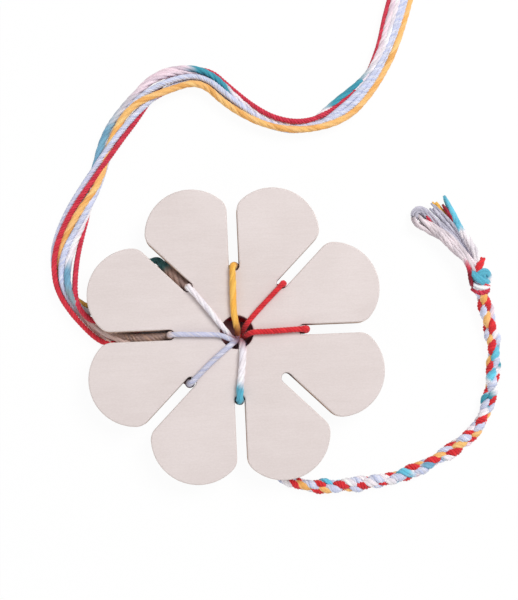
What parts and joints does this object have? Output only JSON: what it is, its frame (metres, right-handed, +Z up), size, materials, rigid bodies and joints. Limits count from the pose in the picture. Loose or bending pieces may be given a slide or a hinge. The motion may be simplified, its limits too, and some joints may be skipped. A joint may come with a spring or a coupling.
{
  "type": "cord braiding disc",
  "caption": "Flat wooden flower-shaped disc with radial slots that hold yarns over a centre hole, a round braid growing below it and the spare yarn laid in a bundle.",
  "frame": {"origin": "on the table under the centre of the disc's hole, at the base of the yarns that the disc lies on", "axes": "+Z up through the hole, +X along one slot towards the braid's free end, +Y along the slot that points towards the yarn bundle's coil"},
  "size_m": [0.1467, 0.2618, 0.0114],
  "materials": {
    "wood": "bare sanded plywood",
    "red_yarn": "matte plied yarn",
    "yellow_yarn": "matte plied yarn",
    "lilac_yarn": "matte plied yarn",
    "variegated_yarn": "matte plied yarn",
    "mixed_yarn": "matte plied yarns of several colours"
  },
  "bodies": {
    "root": {"braid": "mixed_yarn", "braid_knot": "mixed_yarn", "free_east": "red_yarn", "free_north": "yellow_yarn", "free_northeast": "red_yarn", "free_northwest": "variegated_yarn", "free_south": "variegated_yarn", "free_southwest": "lilac_yarn", "free_west": "lilac_yarn", "strand_east": "red_yarn", "strand_north": "yellow_yarn", "strand_northeast": "red_yarn", "strand_northwest": "variegated_yarn", "strand_south": "variegated_yarn", "strand_southwest": "lilac_yarn", "strand_west": "lilac_yarn", "tassel_lilac": "lilac_yarn", "tassel_lilac_inner": "lilac_yarn", "tassel_red": "red_yarn", "tassel_red_stub": "red_yarn", "tassel_turquoise": "variegated_yarn", "tassel_white": "variegated_yarn", "tassel_yellow": "yellow_yarn", "under_east": "red_yarn", "under_north": "yellow_yarn", "under_northeast": "red_yarn", "under_northwest": "variegated_yarn", "under_south": "variegated_yarn", "under_southwest": "lilac_yarn", "under_west": "lilac_yarn", "wooden_disc": "wood", "yarn_coil": "mixed_yarn"}
  },
  "joints": []
}
